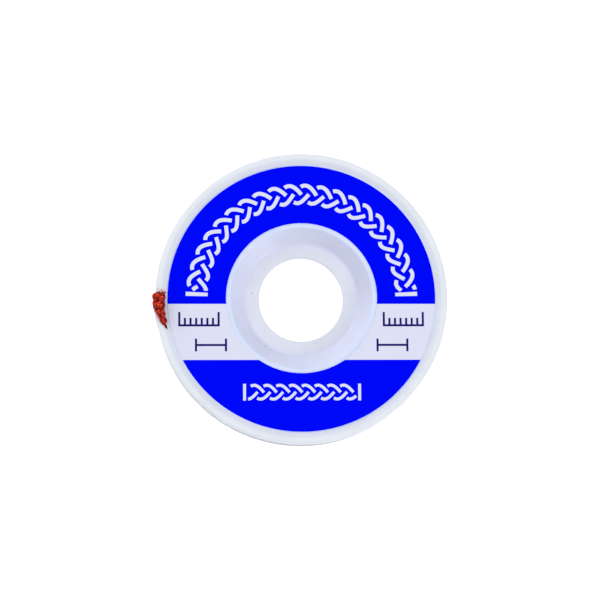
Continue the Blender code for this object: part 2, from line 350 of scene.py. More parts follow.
def add_node(material, kind, inputs=(), output=0, **settings):
    """Adds a node with its own settings, and gives one of its outputs.

    Inputs, by name or in order, are values or other nodes' outputs, which are linked.
    """
    added = material.node_tree.nodes.new("ShaderNode" + kind)
    for name, value in settings.items():
        setattr(added, name, value)
    for name, value in inputs.items() if isinstance(inputs, dict) else enumerate(inputs):
        if isinstance(value, bpy.types.NodeSocket):
            connect(value, added, name)
        else:
            added.inputs[name].default_value = value
    return added.outputs[output]


def dimmed(base, share):
    """The colour with this share of its light."""
    return (*(part * share for part in base[:3]), 1.0)


def start_material(name, base, values):
    """A material with one Principled BSDF, its base colour and other constant values set.

    Gives the material, its shader and the place on the object, which patterns are drawn from.
    """
    material = bpy.data.materials.new(name)
    material.use_nodes = True
    shader = material.node_tree.nodes["Principled BSDF"]
    for socket, value in {"Base Color": base, **values}.items():
        shader.inputs[socket].default_value = value
    material.diffuse_color = base
    return material, shader, add_node(material, "TexCoord", output="Object")


def lump_inputs(place, millimetres, detail):
    """The inputs of noise whose lumps are this large."""
    return {"Vector": place, "Scale": 1.0 / (millimetres * MM), "Detail": detail}


def cloud(material, place, millimetres, detail, limits, results=(0.0, 1.0)):
    """A pattern of lumps this large, which passes between the results inside the limits."""
    lumps = add_node(material, "TexNoise", lump_inputs(place, millimetres, detail), "Fac")
    return add_node(material, "MapRange", (lumps, *limits, *results))


def mottled(material, shader, place, share, millimetres, detail=2.0):
    """Lets the base colour fade to this share of its light in lumps this large."""
    base = shader.inputs["Base Color"].default_value[:]
    lumps = cloud(material, place, millimetres, detail, (0.3, 0.7))
    inputs = {0: lumps, 6: base, 7: dimmed(base, share)}
    connect(add_node(material, "Mix", inputs, 2, data_type="RGBA"), shader, "Base Color")


def grained(material, shader, place, millimetres, height):
    """Raises lumps this large from the surface by up to this height in millimetres."""
    lumps = add_node(material, "TexNoise", lump_inputs(place, millimetres, 2.0), "Fac")
    inputs = {"Height": lumps, "Distance": height * MM, "Strength": 1.0}
    connect(add_node(material, "Bump", inputs), shader, "Normal")


# Dust specks: the x, y, z and radius of each in millimetres
SPECKS = (
    (-9.31, 1.28, 4.65, 0.14),
    (10.53, 3.36, 4.95, 0.14),
    (10.57, 2.45, 4.7, 0.09),
    (-6.69, -8.78, 4.93, 0.13),
)
# The plastic's colour at these distances from the axis, in millimetres: plain plastic, with painted
# shade down the recess, a painted blue reflection beside the label and a painted highlight on the
# raised rim
CASTS = (
    (9.4, "plastic"),
    (10.6, "painted_recess_shade"),
    (13.0, "painted_recess_shade"),
    (13.4, "painted_label_reflection"),
    (25.1, "painted_label_reflection"),
    (25.7, "plastic"),
    (26.6, "painted_rim_highlight"),
)
PATCH_SHADE = 0.96


def polystyrene_material():
    """Moulded high-impact polystyrene: a satin, faintly cool white with a fine moulded grain, with
    painted shade down the recess, a painted blue reflection beside the label and a painted
    highlight on the raised rim.
    """
    sizes = spool_sizes()
    material, shader, place = start_material(
        "moulded_white_polystyrene",
        sizes.plastic,
        {"Roughness": 0.42, "IOR": 1.59, "Subsurface Weight": 0.0},
    )
    flat = add_node(material, "VectorMath", (place, (1.0, 1.0, 0.0)), operation="MULTIPLY")
    from_axis = add_node(material, "VectorMath", (flat,), "Value", operation="LENGTH")
    share = add_node(material, "MapRange", (from_axis, 0.0, sizes.rim_radius, 0.0, 1.0))
    shade = add_node(material, "ValToRGB", (share,))
    stops = shade.node.color_ramp.elements
    stops.remove(stops[1])
    for index, (distance, name) in enumerate(CASTS):
        stop = stops[0] if index == 0 else stops.new(1.0)
        stop.position = distance * MM / sizes.rim_radius
        stop.color = getattr(sizes, name)
    patches = cloud(material, place, 6.0, 3.0, (0.35, 0.65))
    inputs = {0: patches, 6: shade, 7: dimmed((1.0, 1.0, 1.0), PATCH_SHADE)}
    shade = add_node(material, "Mix", inputs, 2, data_type="RGBA", blend_type="MULTIPLY")
    for *centre, radius in SPECKS:
        centre = [part * MM for part in centre]
        far = add_node(material, "VectorMath", (place, centre), "Value", operation="DISTANCE")
        speck = add_node(material, "MapRange", (far, radius * 0.5 * MM, radius * MM, 1.0, 0.0))
        shade = add_node(material, "Mix", {0: speck, 6: shade, 7: sizes.dust}, 2, data_type="RGBA")
    connect(shade, shader, "Base Color")
    connect(cloud(material, place, 1.5, 2.0, (0.3, 0.7), (0.36, 0.5)), shader, "Roughness")
    # A fine grain of 0.2 mm, drawn a little coarser than the mould's own so that it shows.
    grained(material, shader, place, 0.2, 0.004)
    return material


def copper_wire_material():
    """Bare drawn copper wire thinly coated with flux: a red metal, darker where flux has pooled."""
    sizes = braid_sizes()
    material, shader, place = start_material(
        "fluxed_copper_wire", sizes.copper, {"Metallic": 1.0, "Roughness": 0.34}
    )
    pooled = cloud(material, place, 0.45, 3.0, (0.4, 0.62))
    inputs = {0: pooled, 6: sizes.copper, 7: sizes.flux_and_shade_copper}
    shade = add_node(material, "Mix", inputs, 2, data_type="RGBA")
    loose = add_node(material, "Attribute", output="Fac", attribute_name="loose")
    inputs = {0: loose, 6: shade, 7: sizes.copper_pale}
    connect(add_node(material, "Mix", inputs, 2, data_type="RGBA"), shader, "Base Color")
    connect(cloud(material, place, 0.3, 2.0, (0.3, 0.7), (0.26, 0.46)), shader, "Roughness")
    return material


def copper_weave_material():
    """The same fluxed copper wire, woven: fine wires side by side show as grooves in a bundle, and
    painted shade darkens the weave's low places, the second family of bundles and the grooves
    between turns.
    """
    sizes = braid_sizes()
    material, shader, place = start_material(
        "woven_fluxed_copper", sizes.copper, {"Metallic": 1.0, "Roughness": 0.38}
    )
    pooled = cloud(material, place, 1.2, 2.0, (0.35, 0.65), (0.0, 0.25))
    # Painted shade from the point values, or pooled flux, whichever is darker, mixes towards the
    # dark copper.
    hollow = add_node(material, "Attribute", output="Fac", attribute_name="hollow")
    dark = add_node(material, "Math", (hollow, pooled), operation="MAXIMUM")
    inputs = {0: dark, 6: sizes.copper, 7: sizes.flux_and_shade_copper}
    connect(add_node(material, "Mix", inputs, 2, data_type="RGBA"), shader, "Base Color")
    wire = add_node(material, "Attribute", output="Fac", attribute_name="wire")
    wave = add_node(material, "Math", (wire,), operation="SINE")
    height = add_node(material, "MapRange", (wave, -1.0, 1.0, 0.0, 1.0))
    inputs = {"Height": height, "Distance": 0.03 * MM, "Strength": 1.0}
    connect(add_node(material, "Bump", inputs), shader, "Normal")
    return material


def printed_material(name, base, faded):
    """Printed vinyl label film: an even ink on a smooth film, with a faint mottle in the ink."""
    material, shader, place = start_material(
        name, base, {"Roughness": 0.32, "IOR": 1.5, "Specular IOR Level": 0.0}
    )
    mottled(material, shader, place, faded, 0.35, 3.0)
    grained(material, shader, place, 2.5, 0.004)
    return material


# Spool

SPOOL_COLUMNS = 360
ROUNDING_STEPS = 6
FINE_ROUNDING = 0.12 * MM
CREASE_ROUNDING = 1.5 * MM
CHANNEL_ROUNDING = 0.4 * MM
FOOT_ROUNDING = 1.1 * MM
MOUTH_ROUNDING = 0.35 * MM
HOLE_ROUNDING = 0.25 * MM
SLIT_OVERRUN = 1.5 * MM
SLIT_EDGE = 0.07 * MM
BEVELLED_ANGLE = math.radians(50.0)


def slit_frame():
    """Outward and along directions of the slit, and the distance of its line from the axis."""
    sizes = spool_sizes()
    outward = np.array([math.cos(sizes.slit_bearing), math.sin(sizes.slit_bearing), 0.0])
    along = np.array([outward[1], -outward[0], 0.0])
    return outward, along, sizes.rim_radius - sizes.slit_depth


def slit_mouth():
    """How far along its line the slit meets the rim: a right triangle's third side."""
    return math.sqrt(spool_sizes().rim_radius ** 2 - slit_frame()[2] ** 2)


def spool_section():
    """The closed section from the hub hole along the front, round the rim and channel, and back."""
    sizes = spool_sizes()
    top, middle = sizes.thickness, sizes.thickness / 2
    face = top - sizes.lip_height
    mouth = sizes.hub_radius - sizes.hub_wall
    foot = mouth - sizes.recess_draft
    web = middle + sizes.web_thickness / 2
    lip = sizes.rim_radius - sizes.lip_width
    channel = face - sizes.flange_thickness
    front = [
        (foot - sizes.web_reach, web, HOLE_ROUNDING),
        (foot, web, FOOT_ROUNDING),
        (mouth, face, MOUTH_ROUNDING),
        (lip - sizes.lip_step, face, CREASE_ROUNDING),
        (lip, top, CREASE_ROUNDING),
        (sizes.rim_radius, top, MOUTH_ROUNDING),
        (sizes.rim_radius, channel + sizes.flange_taper, FINE_ROUNDING),
        (sizes.hub_radius, channel, CHANNEL_ROUNDING),
    ]
    back = [(radius, top - height, rounding) for radius, height, rounding in front[::-1]]
    return rounded(front + back, ROUNDING_STEPS)


def bulged_tongue(points):
    """Springs the tongue beside the slit outwards by a squared cosine of the bearing.

    Only points of the front flange move, and the move fades out over the slit's own width.
    """
    sizes = spool_sizes()
    outward, _, line = slit_frame()
    bearing = np.arctan2(points[..., 1], points[..., 0]) % FULL_TURN
    offset = np.clip((bearing - sizes.tongue_bearing) / sizes.tongue_half_angle, -1, 1)
    beyond = (points @ outward - line) / (2 * sizes.slit_half_width)
    share = np.cos(offset * math.pi / 2) ** 2 * eased(beyond + 0.5)
    share *= points[..., 2] > sizes.thickness / 2
    across = np.linalg.norm(points[..., :2], axis=-1)
    grown = 1 + sizes.tongue_bulge * share / across
    return points * stacked(grown, grown, 1.0)


def slit_wedge():
    """Points and faces of a pointed wedge that widens towards the rim, taller than the flange."""
    sizes = spool_sizes()
    outward, along, line = slit_frame()
    start = sizes.slit_tip + sizes.slit_point
    end = slit_mouth() + SLIT_OVERRUN
    plan = np.array(
        [
            (sizes.slit_tip, 0.0),
            (start, -sizes.slit_half_width),
            (end, -sizes.slit_half_width - sizes.slit_spread),
            (end, sizes.slit_half_width),
            (start, sizes.slit_half_width),
        ]
    )
    flat = outward * (line + plan[:, 1:]) + along * plan[:, :1]
    bottom = sizes.thickness - sizes.lip_height - sizes.flange_thickness
    levels = np.array([bottom, sizes.thickness + SLIT_OVERRUN])
    corner = np.arange(len(plan))[None, :]
    walls = grid_faces(2, len(plan), wrap_columns=True)
    return flat + UP * levels[:, None, None], [walls, corner[:, ::-1], corner + len(plan)]


def apply_modifiers(piece):
    """Makes the piece's modifiers part of its mesh."""
    graph = bpy.context.evaluated_depsgraph_get()
    finished = bpy.data.meshes.new_from_object(piece.evaluated_get(graph))
    piece.modifiers.clear()
    piece.data = finished


class OBJECT_OT_spool_body(bpy.types.Operator):
    """Builds the white moulded spool with the slit in its front flange"""

    bl_idname = "object.spool_body"
    bl_label = "Spool"

    def execute(self, context):
        bearings = np.arange(SPOOL_COLUMNS) * FULL_TURN / SPOOL_COLUMNS
        points = bulged_tongue(turned(spool_section(), bearings))
        plastic = polystyrene_material()
        spool = new_piece(
            "white_spool", points, [ring_faces(points)], [plastic], "spool", "spool_plastic"
        )
        wedge = new_piece("slit_wedge", *slit_wedge(), [])
        cut = spool.modifiers.new("slit", "BOOLEAN")
        cut.operation = "DIFFERENCE"
        cut.solver = "EXACT"
        cut.object = wedge
        edge = spool.modifiers.new("slit_edge", "BEVEL")
        edge.width = SLIT_EDGE
        edge.segments = 2
        edge.limit_method = "ANGLE"
        edge.angle_limit = BEVELLED_ANGLE
        apply_modifiers(spool)
        bpy.data.objects.remove(wedge)
        smooth(spool.data)
        return {"FINISHED"}


# Winding

TURN_STATIONS = 1200
CORE_STATIONS = 240
FACE_COLUMNS = 32
CARRIER_RELIEF = 0.1 * MM
# Painted shade of the weave: below this height a place is darkened, this fast, and the second
# family of bundles is painted this much darker
HOLLOW_LIMIT = 0.75
HOLLOW_GAIN = 1.8
FAMILY_SHADE = 0.25
CREST_HEIGHT = 0.25 * MM
SKIN_INSET = 0.02 * MM
BORE_ROUNDING = 0.1 * MM
BUNDLES_ACROSS = 4
WEAVE_REPEAT = 8
POINTS_PER_TURN = 6
# How fast the wires' phase runs round the winding's two ends
END_WIRES = 700.0


def weave_pattern(along, across, pitch, wire_turn):
    """Relief, wire phase and painted shade of a two-over, two-under weave of slanting bundles.

    Two families of bundles run along the sum and the difference of the two coordinates. In each
    family a bundle is a low arch across its width, and it rises and sinks by a sine of where it
    crosses the other family. The higher of the two families shows. Low places get painted shade,
    and so does the second family, painted darker for wires that catch less light.
    """
    first, second = (along + across) / pitch, (along - across) / pitch
    heights = []
    for own, other, swing in ((first, second, 0.5), (second, first, -0.5)):
        arch = 1 - (2 * (own % 1) - 1) ** 2
        heights.append(0.5 * arch + swing * np.sin(math.pi / 2 * (other + np.floor(own))))
    height = np.maximum(*heights)
    is_first = heights[0] > heights[1]
    wire = np.where(is_first, first % 1, second % 1) * wire_turn
    hollow = HOLLOW_GAIN * (HOLLOW_LIMIT - height) + np.where(is_first, 0.0, FAMILY_SHADE)
    return np.clip(height, 0, 1), wire, np.clip(hollow, 0, 1)


def outer_turn_points():
    """The outermost turn as a closed ring: a woven face outside, and plain edges and a bore.

    The radius of the outer face is the winding's radius less the part of the carrier relief that
    the weave leaves low, so its highest bundles reach the true radius. Each point also gets the
    weave's wire phase and its painted shade.
    """
    sizes = braid_sizes()
    outer = sizes.bore_radius + sizes.turns * sizes.thickness
    middle, half = spool_sizes().thickness / 2, sizes.width / 2
    bearings = np.arange(TURN_STATIONS) * FULL_TURN / TURN_STATIONS
    across = half * np.sin(np.linspace(math.pi / 2, -math.pi / 2, FACE_COLUMNS))
    bundle_width = sizes.width / BUNDLES_ACROSS
    crossings = round(outer * FULL_TURN * math.tan(sizes.braid_angle) / bundle_width)
    pitch = outer * FULL_TURN / (crossings // WEAVE_REPEAT * WEAVE_REPEAT)
    arc = bearings[:, None] * outer
    relief, wire, hollow = weave_pattern(arc, across[None], pitch, sizes.wires * FULL_TURN)
    edge = np.sqrt(np.clip(1 - (across / half) ** 2, 0, 1)) ** 0.5
    radius = outer - CARRIER_RELIEF * (1 - relief) - (1 - edge) * sizes.thickness * 0.5
    inner = outer - sizes.thickness + SKIN_INSET
    back_radius = np.array([inner + BORE_ROUNDING, inner, inner, inner + BORE_ROUNDING])
    back_radius = np.tile(back_radius, (TURN_STATIONS, 1))
    radius = np.concatenate([radius, back_radius], axis=1)
    height = middle + np.concatenate([across, [-half, -half * 0.5, half * 0.5, half]])
    plain_back = ((0, 0), (0, back_radius.shape[1]))
    points = turned(stacked(radius, height), bearings)
    return points, np.pad(wire, plain_back), np.pad(hollow, plain_back)


def inner_turns_points():
    """The turns below the outermost one: a ring whose two ends show a spiral of rounded edges.

    The height of an end is the braid's half width less a groove that is deepest where the turn
    number, the radius over the turn's thickness less the bearing over a full turn, is whole.
    """
    sizes = braid_sizes()
    middle = spool_sizes().thickness / 2
    bearings = np.arange(CORE_STATIONS) * FULL_TURN / CORE_STATIONS
    turns = sizes.turns - 1
    from_bore = np.linspace(0, turns * sizes.thickness, turns * POINTS_PER_TURN + 1)
    radius = sizes.bore_radius + from_bore
    turn_number = (radius - sizes.bore_radius) / sizes.thickness - bearings[:, None] / FULL_TURN
    groove = CREST_HEIGHT * np.abs(np.cos(math.pi * turn_number)) ** 3
    half = sizes.width / 2 - groove
    radius = np.broadcast_to(radius, half.shape)
    section_radius = np.concatenate([radius, radius[:, ::-1]], axis=1)
    section_height = np.concatenate([middle + half, middle - half[:, ::-1]], axis=1)
    points = turned(stacked(section_radius, section_height), bearings)
    wire = np.broadcast_to(bearings[:, None] * END_WIRES, section_radius.shape)
    # The groove's depth as a share is painted shade in the grooves between turns.
    return points, wire, np.concatenate([groove, groove[:, ::-1]], axis=1) / CREST_HEIGHT


class OBJECT_OT_braid_winding(bpy.types.Operator):
    """Builds the turns of braid on the hub"""

    bl_idname = "object.braid_winding"
    bl_label = "Winding"

    def execute(self, context):
        parts = [outer_turn_points(), inner_turns_points()]
        points, faces = joined([(points, [ring_faces(points)]) for points, _, _ in parts])
        material = copper_weave_material()
        winding = new_piece("braid_winding", points, faces, [material], "braid", "copper_braid")
        # Stores the wire phase and the painted shade as point values.
        for index, name in ((1, "wire"), (2, "hollow")):
            values = np.concatenate([part[index].ravel() for part in parts])
            set_point_value(winding, name, values)
        return {"FINISHED"}


# Free end

# The pinch that the slit gives the braid's width
PINCH = 0.2 * MM
TAIL_THICKNESS = 0.46 * MM
# Shares by which the tube thickens where it opens, and thins again towards the cut
OPENING, CLOSING = 2.4, 0.5
LEAN = 0.2 * MM
# Distances past the slit's mouth, and how much the outer side swells there, in millimetres
SWELL_PLACES = (-5.0, -4.2, -3.3, -2.5, -1.7, -1.1, -0.4, 0.4, 2.1)
SWELL_AMOUNTS = (0.0, 0.25, 0.36, 0.3, 0.36, 0.5, 0.36, 0.22, 0.0)
SWELL_RISE = 0.3 * MM
OPENING_REACH = 0.8 * MM
EDGE_TRIM = 1.4 * MM
HELD_HEIGHT = 6.3 * MM
RELEASE = 0.3 * MM
RELEASE_LENGTH = 2.1 * MM
RELEASE_RISE = 5.7 * MM
END_NARROWING = 0.4 * MM
ROLL_SINK = 0.5 * MM
UNWIND_LENGTH = 19.0 * MM
CLIMB = math.radians(31.0)
CLIMB_RADIUS = 5.0 * MM
MOUTH_OVERHANG = 0.42 * MM
CURL = math.radians(73.0)
CURL_RADIUS = 1.25 * MM
CURL_START = 0.2 * MM
FREE_LENGTH = 4.66 * MM
WIRE_STATIONS = 200
WIRE_SIDES = 5
FRAY_LENGTH = 1.3 * MM
FRAY_SPREAD = 0.2 * MM
RAGGED_LENGTH = 0.4 * MM
# Shares of a bundle's width that its wires fill, and that is left on each side
BUNDLE_FILL, BUNDLE_MARGIN = 0.92, 0.04
# How far a wire swings, in diameters, and how far it frays outwards, as a share of the spread
WIRE_WAVE, FRAY_OUTWARDS = 0.45, 0.6
LOOPS = 5
LOOP_ROOT = 0.4 * MM
LOOP_STRETCH = 1.2
LOOP_THINNESS = 0.6
WIRE_SHARP_ANGLE = 80.0


def unwinding(along):
    """Place and inward direction on the slit's line, or before it on the turn that leaves the roll.

    Before the line the radius eases from the roll's radius out to the slit's.
    """
    outward, along_direction, line = slit_frame()
    sizes = braid_sizes()
    roll = sizes.bore_radius + sizes.turns * sizes.thickness
    straight = outward * line + along_direction * along[..., None]
    wound = eased(-along / UNWIND_LENGTH)
    radius = line + (roll - ROLL_SINK - line) * wound
    bearing = spool_sizes().slit_bearing - along / line
    turned_outward = stacked(np.cos(bearing), np.sin(bearing), 0.0)
    on_line = (along >= 0)[..., None]
    place = np.where(on_line, straight, turned_outward * radius[..., None])
    return place, -np.where(on_line, outward, turned_outward)


def climb_lengths():
    """Where the climb starts along the slit's line, the length of its arc, and its whole length."""
    top = spool_sizes().thickness
    width = braid_sizes().width - PINCH
    crossing = slit_mouth() + MOUTH_OVERHANG - width / 2 / math.sin(CLIMB)
    arc_run = CLIMB_RADIUS * math.sin(CLIMB)
    arc_rise = CLIMB_RADIUS * (1 - math.cos(CLIMB))
    rise = top + CURL_START - top / 2 - arc_rise
    start = crossing - arc_run - rise / math.tan(CLIMB)
    arc_length = CLIMB_RADIUS * CLIMB
    return start, arc_length, arc_length + rise / math.sin(CLIMB)


def strip_place(run, across, lift):
    """A point of the flat strip: its run along it, its place across it and its lift off it.

    The strip's line runs level, bends up on an arc and climbs straight. The flange holds it down
    until just past the slit's tip. Above the slit it bends inwards on an arc round the slit's
    direction and then goes on straight, and there the tube opens. Clear of the flange, its outer
    side swells by the table of distances from the slit's mouth.
    """
    start, arc_length, climb_length = climb_lengths()
    top = spool_sizes().thickness
    climb = np.clip(run / CLIMB_RADIUS, 0, CLIMB)
    straight = np.maximum(run - arc_length, 0)
    forward = CLIMB_RADIUS * np.sin(climb) + straight * np.cos(climb) + np.minimum(run, 0)
    rise = CLIMB_RADIUS * (1 - np.cos(climb)) + straight * np.sin(climb)
    along = start + forward - across * np.sin(climb)
    free = (along - spool_sizes().slit_tip - RELEASE) / RELEASE_LENGTH
    held = HELD_HEIGHT + RELEASE_RISE * eased(free)
    height = np.minimum(top / 2 + rise + across * np.cos(climb), held)
    place, inward = unwinding(along)
    above = np.maximum(height - top - CURL_START, 0)
    curl = np.minimum(above / CURL_RADIUS, CURL)
    beyond = above - CURL_RADIUS * curl
    sideways = CURL_RADIUS * (1 - np.cos(curl)) + beyond * np.sin(curl)
    upwards = CURL_RADIUS * np.sin(curl) + beyond * np.cos(curl)
    point = place + inward * sideways[..., None] + UP * (height - above + upwards)[..., None]
    normal = inward * np.cos(curl)[..., None] - UP * np.sin(curl)[..., None]
    opened = eased((height - top) / OPENING_REACH)
    freed = np.clip((run - climb_length) / FREE_LENGTH, 0, 1)
    outer = np.clip(-lift / (TAIL_THICKNESS / 2 - braid_sizes().wire_diameter), 0, 1)
    lift = lift * (1 + OPENING * opened * (1 - CLOSING * freed**2))
    past_mouth = along - slit_mouth()
    swell = np.interp(past_mouth, np.array(SWELL_PLACES) * MM, np.array(SWELL_AMOUNTS) * MM)
    clear = eased(np.maximum(height - top, past_mouth) / SWELL_RISE)
    lift = lift + LEAN * opened - swell * clear * outer * np.cos(curl)
    return point + normal * lift[..., None], normal


def flattened_tube(share, width, thickness):
    """Place and outward direction on a flattened tube's outline, share 0 to 1 once round it.

    Each half is a straight side and then a half circle, and the second half mirrors the first.
    """
    straight = width - thickness
    half_length = straight + math.pi * thickness / 2
    travelled = (share % 1.0) * 2 * half_length
    side = np.where(travelled < half_length, 1.0, -1.0)
    travelled = travelled % half_length
    turn = np.maximum(travelled - straight, 0) / (thickness / 2)
    across = side * (-straight / 2 + np.minimum(travelled, straight) + thickness / 2 * np.sin(turn))
    lift = side * thickness / 2 * np.cos(turn)
    return across, lift, side * np.sin(turn), side * np.cos(turn)


def braid_wires(generator):
    """The paths of all wires of the free end, and the strip's normal along each.

    Wires circle the flattened tube one way or the other while they run along the strip. Each
    bundle rises and sinks by a sine of where it crosses the bundles that circle the other way.
    Towards the cut end the tube opens and the wires spread and end at ragged lengths.
    """
    sizes = braid_sizes()
    start, _, climb_length = climb_lengths()
    first_run = -UNWIND_LENGTH - start
    last_run = climb_length + FREE_LENGTH
    direction, carrier, wire = np.meshgrid(
        [1.0, -1.0], np.arange(sizes.carriers), np.arange(sizes.wires), indexing="ij"
    )
    direction, carrier, wire = (part.reshape(-1, 1) for part in (direction, carrier, wire))
    wires = len(direction)
    lay = 2 * (sizes.width - PINCH) / math.tan(sizes.braid_angle)
    bundle = carrier + (wire + 0.5) / sizes.wires * BUNDLE_FILL + BUNDLE_MARGIN
    cut_share = bundle / sizes.carriers + direction * last_run / lay
    # The place across the cut from -1 to 1, on a tube of width 2
    cut_across = flattened_tube(cut_share, 2.0, 0.2)[0]
    trimmed = generator.uniform(0, RAGGED_LENGTH, (wires, 1))
    trimmed = trimmed + EDGE_TRIM * np.clip(-cut_across, 0, 1) ** 2
    share = np.linspace(0, 1, WIRE_STATIONS)[None, :]
    run = first_run + (last_run - trimmed - first_run) * share
    freed = np.clip((run - climb_length) / FREE_LENGTH, 0, 1)
    width = sizes.width - PINCH - END_NARROWING * freed**3 - 2 * sizes.wire_diameter
    thickness = np.full_like(run, TAIL_THICKNESS - 2 * sizes.wire_diameter)
    circled = bundle / sizes.carriers + direction * run / lay
    crossing = sizes.carriers * (circled + direction * run / lay)
    rise = direction * np.sin(math.pi / 2 * (crossing + direction * carrier))
    across, lift, across_out, lift_out = flattened_tube(circled, width, thickness)
    stand = rise * sizes.wire_diameter * WIRE_WAVE
    fray = np.clip((run - last_run + FRAY_LENGTH) / FRAY_LENGTH, 0, 1) ** 2 * FRAY_SPREAD
    stray_across = generator.uniform(-0.9, 0.9, (wires, 1))
    stray_lift = generator.uniform(-0.3, 0.8, (wires, 1))
    across = across + across_out * stand + fray * (stray_across + FRAY_OUTWARDS * across_out)
    lift = lift + lift_out * stand + fray * (stray_lift + FRAY_OUTWARDS * lift_out)
    return strip_place(run, across, lift)


def loose_wires(generator):
    """A few fine wires that have sprung out of the cut end in open loops.

    Each is a circle's arc in the strip's own plane, which starts in the cut end and leans aside.
    """
    _, _, climb_length = climb_lengths()
    share = np.linspace(0, 1, WIRE_STATIONS)[None, :]
    radius = generator.uniform(0.35, 0.7, (LOOPS, 1)) * MM
    sweep = generator.uniform(2.2, 4.0, (LOOPS, 1))
    lean = generator.uniform(-0.4, 0.4, (LOOPS, 1)) * MM
    start_across = generator.uniform(0.7, 1.4, (LOOPS, 1)) * MM
    turn = share * sweep
    root = climb_length + FREE_LENGTH - LOOP_ROOT
    run = root + radius * np.sin(turn) * LOOP_STRETCH
    across = start_across - radius * (1 - np.cos(turn))
    return strip_place(run, across, lean * share**1.5)


class OBJECT_OT_braid_free_end(bpy.types.Operator):
    """Builds the woven wires of the free end, which climbs through the slit and is cut off blunt"""

    bl_idname = "object.braid_free_end"
    bl_label = "Free end"

    def execute(self, context):
        generator = np.random.default_rng(SEED)
        woven, woven_normal = braid_wires(generator)
        loose, loose_normal = loose_wires(generator)
        paths = np.concatenate([woven, loose])
        normals = np.concatenate([woven_normal, loose_normal])
        radius = np.full(paths.shape[:2], braid_sizes().wire_diameter / 2)
        radius[len(woven) :] *= LOOP_THINNESS
        points, faces = tubes(paths, normals, radius, WIRE_SIDES)
        material = copper_wire_material()
        free_end = new_piece("braid_free_end", points, faces, [material], "braid", "copper_braid")
        smooth(free_end.data, WIRE_SHARP_ANGLE)
        is_loose = np.zeros(points.shape[:3])
        is_loose[len(woven) :] = 1.0
        set_point_value(free_end, "loose", is_loose)
        return {"FINISHED"}


# Label

LABEL_ROWS = 24
FIELD_COLUMNS = (160, 48, 96, 48)
INK = 0.012 * MM
INK_SINK = 0.006 * MM
PLAIT_STATIONS = 20
PLAIT_GAP = 0.5
PLAIT_END_GAP = 0.4 * MM
ARC_WAVES = 7
ARC_HALF_ANGLE = math.radians(88.0)
LINE_WAVES = 3
LINE_LENGTH = 21.5 * MM
LINE_HALF_HEIGHT = 1.3 * MM
BAND_MIDDLES = ((-19.25 * MM, -17.0 * MM), (19.1 * MM, 17.0 * MM))
SCALE_TICKS = 8
SCALE_STEP = 1.05 * MM
SCALE_FOOT = -5.4 * MM
TALL_TICK = 2.3 * MM
SHORT_TICK = 1.2 * MM
BAR_LENGTH = 5.2 * MM
BAR_FOOT = -10.1 * MM
BAR_TICK = 2.4 * MM
RULE_WIDTH = 0.4 * MM
LINE_STROKE_SHARE = 0.75


def label_film_points():
    """The label as a closed ring of four fields whose edges are two level lines.

    On a circle of any radius, a level line at height h is crossed at the bearing whose sine is h
    over the radius, so the bearings of the columns depend on the radius of the row.
    """
    sizes = label_sizes()
    radius = np.linspace(sizes.inner_radius, sizes.outer_radius, LABEL_ROWS)
    upper = np.arcsin(sizes.band_top / radius)
    lower = np.arcsin(sizes.band_bottom / radius)
    limits = (upper, math.pi - upper, math.pi - lower, FULL_TURN + lower, FULL_TURN + upper)
    columns = zip(limits, limits[1:], FIELD_COLUMNS)
    bearing = np.concatenate([np.linspace(*column, endpoint=False) for column in columns])
    x, y, top = radius * np.cos(bearing), radius * np.sin(bearing), LABEL_TOP.z
    under_side = stacked(x, y, top - sizes.film)[:, ::-1]
    points = np.concatenate([stacked(x, y, top), under_side], axis=1)
    field = np.repeat([0, 1, 0, 1], FIELD_COLUMNS)
    return points, np.repeat(field, 2 * LABEL_ROWS)


def plait(half_height, wavelength, waves, stroke):
    """The strokes of a flat three-strand plait along a straight line, as flat closed strips.

    Strand k is a sine wave shifted by k thirds of a wave. A strand passes under another on its way
    up past half its height and on its way down past minus half its height, and the stroke stops
    short on both sides there. The strokes stop short of a plain stroke across each end. Gives the
    two edges of each stroke.
    """
    strand, half_wave = np.meshgrid(np.arange(3), np.arange(-3, 2 * waves + 2), indexing="ij")
    first = math.pi / 6 + half_wave.reshape(-1, 1) * math.pi + PLAIT_GAP
    last = first + math.pi - 2 * PLAIT_GAP
    shift = strand.reshape(-1, 1) / 3 * FULL_TURN
    stop = (PLAIT_END_GAP + stroke / 2) / wavelength * FULL_TURN
    first = np.maximum(first, stop - shift)
    last = np.minimum(last, waves * FULL_TURN - stop - shift)
    drawn = (last - first > PLAIT_GAP)[:, 0]
    first, last, shift = first[drawn], last[drawn], shift[drawn]
    phase = first + (last - first) * np.linspace(0, 1, PLAIT_STATIONS)[None, :]
    half_span = waves * wavelength / 2
    along = (phase + shift) / FULL_TURN * wavelength - half_span
    middle = stacked(along, half_height * np.sin(phase))
    across = np.linspace(-1, 1, PLAIT_STATIONS) * (half_height + stroke / 2)
    ends = [stacked(place, across) for place in (-half_span, half_span)]
    middle = np.concatenate([middle, ends])
    heading = unit(np.gradient(middle, axis=1))
    side = stacked(-heading[..., 1], heading[..., 0]) * stroke / 2
    return middle + side, middle - side


def on_arc(flat):
    """Wraps (along, across) points round the label: clockwise along the arc, and out from it."""
    sizes = label_sizes()
    radius = sizes.arc_radius + flat[..., 1]
    bearing = math.pi / 2 - flat[..., 0] / sizes.arc_radius
    return stacked(radius * np.cos(bearing), radius * np.sin(bearing))


def on_line(flat):
    """Moves (along, across) points to the level line in the lower field."""
    return flat + np.array([0.0, label_sizes().line_height])


def ink_strips(left, right):
    """Closed strips of ink between two edges, each (strip, station, 2), standing on the label."""
    low, high = LABEL_TOP.z - INK_SINK, LABEL_TOP.z + INK
    corners = ((left, low), (right, low), (right, high), (left, high))
    rings = [stacked(edge[..., 0], edge[..., 1], height) for edge, height in corners]
    return np.stack(rings, axis=2), tube_faces(*left.shape[:2], 4)


